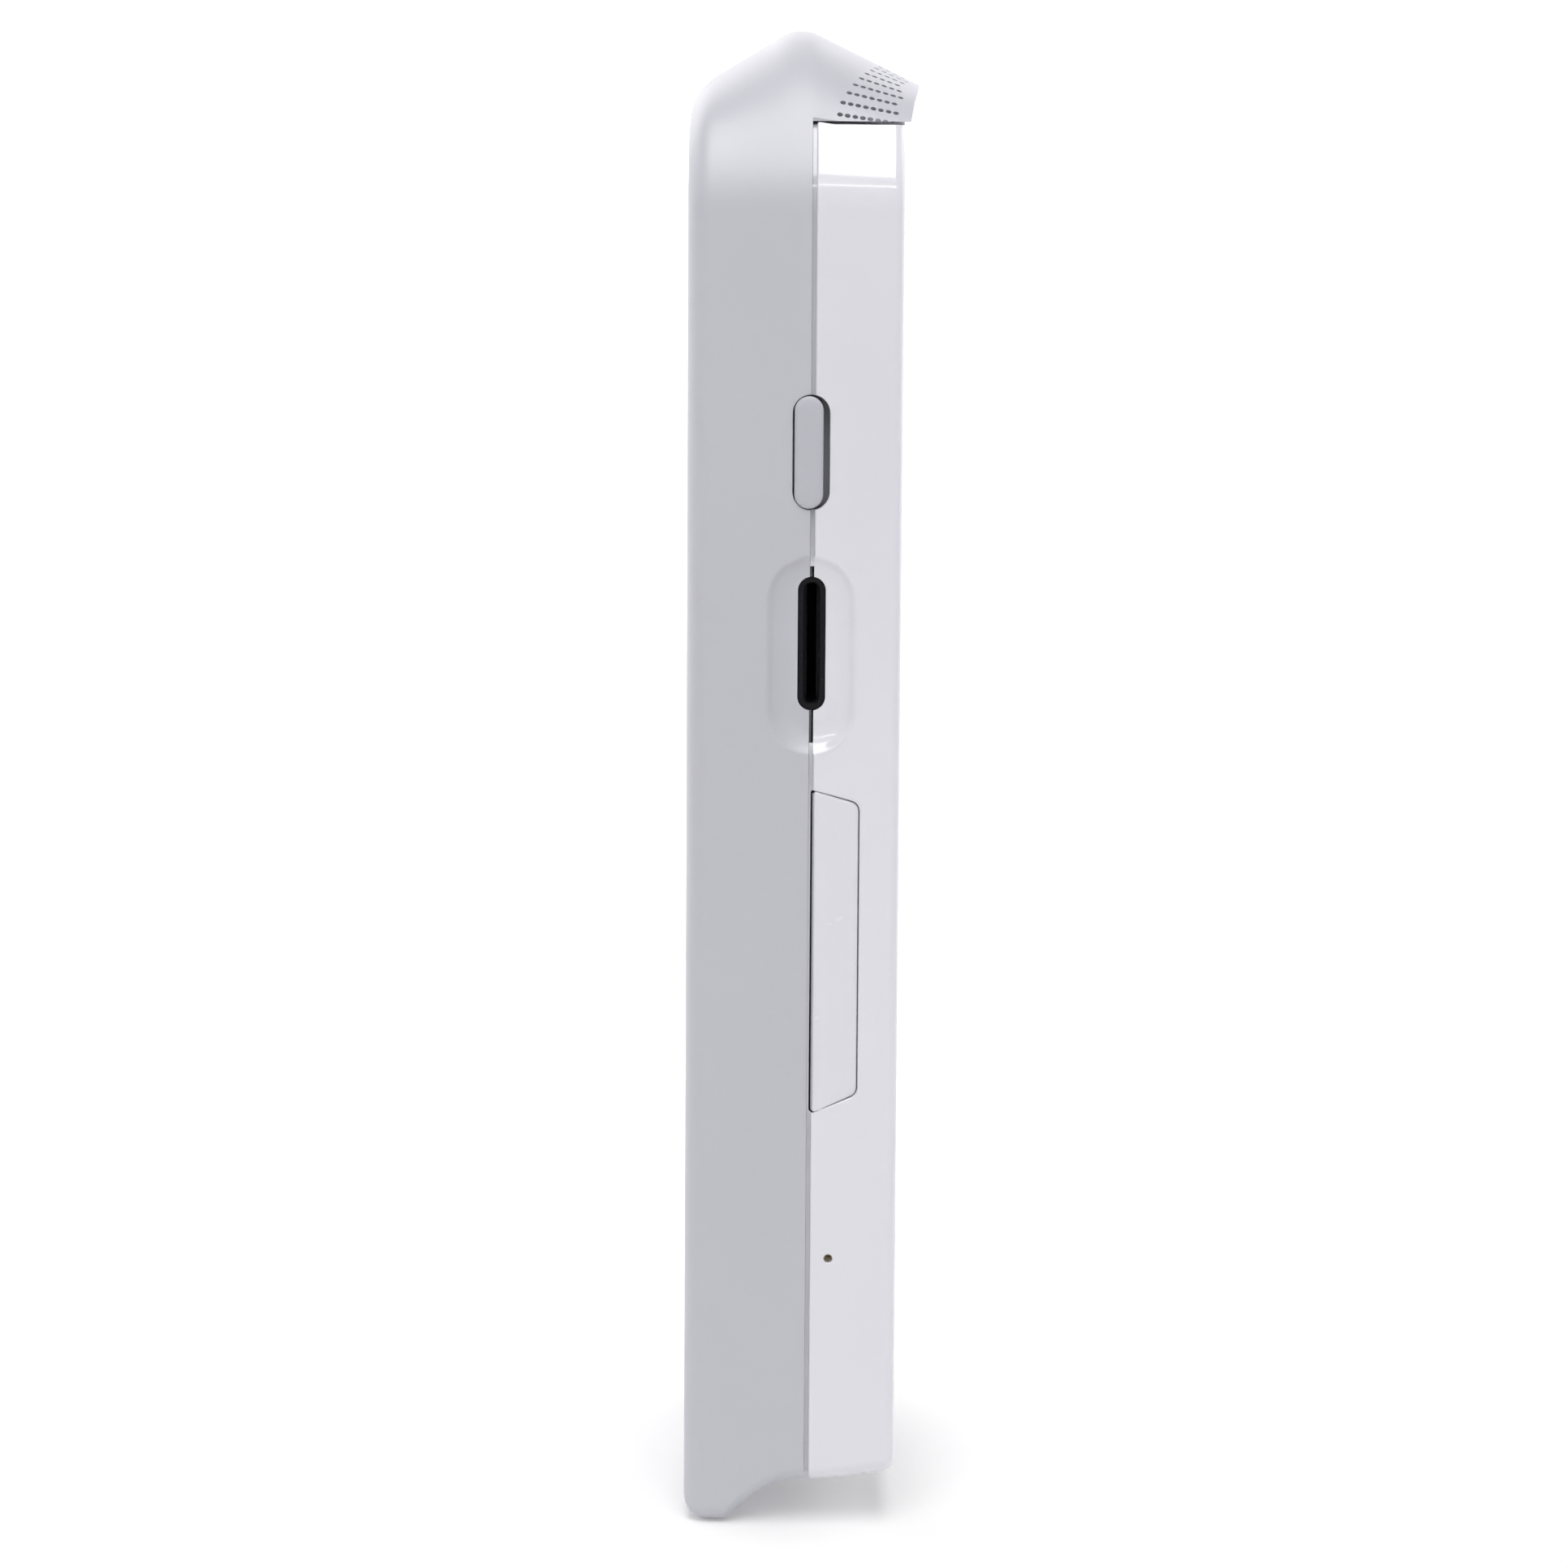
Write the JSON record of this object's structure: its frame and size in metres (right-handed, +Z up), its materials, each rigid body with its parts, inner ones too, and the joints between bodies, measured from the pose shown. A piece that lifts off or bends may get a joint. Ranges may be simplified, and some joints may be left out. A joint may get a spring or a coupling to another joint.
{
  "type": "video doorbell",
  "caption": "Slim wall-hung video doorbell in two shells with an arched perforated speaker canopy, side key, memory card slot and hinged port cover, on a lift-off bracket.",
  "frame": {"origin": "centre of the wall bracket's back face, at half the doorbell's height", "axes": "+Z up the wall, +Y into the wall, so the front faces -Y; the key, card slot and port cover are on the -X side"},
  "size_m": [0.0484, 0.0217, 0.141],
  "materials": {
    "shell_grey": "fine matte texture, pale lavender grey",
    "bracket_grey": "fine matte texture",
    "shell_white": "glossy white, faint cool tint",
    "black_gloss": "glossy black",
    "black_plastic": "satin black",
    "switch_white": "satin",
    "window_glass": "clear, tinted",
    "lens_glass": "coated lens",
    "sensor_dome": "milky, ribbed inside",
    "light_guide": "frosted translucent",
    "infrared_lamp": "dark tinted",
    "steel": "satin",
    "foil": "dull foil",
    "brass": "satin",
    "seal_rubber": "matt",
    "board_resin": "solder mask",
    "speaker_paper": "pressed paper"
  },
  "bodies": {
    "bracket": {"wall_bracket": "bracket_grey"},
    "unit": {"rear_shell": "shell_grey", "speaker_grille": "shell_grey", "front_shell": "shell_white", "front_fascia": "black_gloss", "card_slot_bezel": "black_plastic", "lens_barrel": "black_plastic", "camera_module": "black_plastic", "bell_switch": "black_plastic", "power_switch": "black_plastic", "port_tongue": "black_plastic", "reset_switch": "black_plastic", "wifi_module": "black_plastic", "battery_plug": "black_plastic", "speaker_frame": "black_plastic", "camera_window": "window_glass", "light_sensor_window": "window_glass", "lens_element": "lens_glass", "pir_lens": "sensor_dome", "light_ring": "light_guide", "infrared_led_left": "infrared_lamp", "infrared_led_right": "infrared_lamp", "lens_bezel": "steel", "pir_sensor": "steel", "microphone": "steel", "card_socket": "steel", "port_shell": "steel", "speaker_magnet": "steel", "case_screw_1": "steel", "case_screw_2": "steel", "case_screw_3": "steel", "case_screw_4": "steel", "board_screw_1": "steel", "board_screw_2": "steel", "board_screw_3": "steel", "board_screw_4": "steel", "battery_pack": "foil", "shield_can": "foil", "antenna": "brass", "body_seal": "seal_rubber", "button_seal": "seal_rubber", "microphone_boot": "seal_rubber", "battery_lead": "seal_rubber", "main_board": "board_resin", "speaker_cone": "speaker_paper"},
    "bell_button": {"bell_button": "shell_white"},
    "bell_plunger": {"bell_switch_plunger": "switch_white"},
    "power_key": {"power_key": "shell_grey"},
    "power_plunger": {"power_switch_plunger": "switch_white"},
    "reset_plunger": {"reset_switch_plunger": "brass"},
    "port_cover": {"port_cover": "shell_white"}
  },
  "joints": [
    {"name": "unit_lift", "type": "slide", "parent": "bracket", "child": "unit", "axis": [0, 0, 1], "range_m": [0, 0.006]},
    {"name": "bell_press", "type": "slide", "parent": "unit", "child": "bell_button", "axis": [0, 1, 0], "range_m": [0, 0.0005], "stiffness_N_per_m": 1500, "springref_m": -0.0004},
    {"name": "bell_switch_travel", "type": "slide", "parent": "unit", "child": "bell_plunger", "axis": [0, 1, 0], "range_m": [0, 0.0005]},
    {"name": "power_press", "type": "slide", "parent": "unit", "child": "power_key", "axis": [1, 0, 0], "range_m": [0, 0.0004], "stiffness_N_per_m": 1500, "springref_m": -0.0004},
    {"name": "power_switch_travel", "type": "slide", "parent": "unit", "child": "power_plunger", "axis": [1, 0, 0], "range_m": [0, 0.0004]},
    {"name": "reset_press", "type": "slide", "parent": "unit", "child": "reset_plunger", "axis": [1, 0, 0], "range_m": [0, 0.0003], "stiffness_N_per_m": 800, "springref_m": -0.0004},
    {"name": "port_cover_swing", "type": "hinge", "parent": "unit", "child": "port_cover", "pos_m": [-0.0232, -0.01255, -0.0155], "axis": [0, 0, -1], "range_deg": [0, 100]}
  ],
  "couplings": [
    {"joint": "bell_switch_travel", "follows": "bell_press", "ratio": 1},
    {"joint": "power_switch_travel", "follows": "power_press", "ratio": 1}
  ]
}
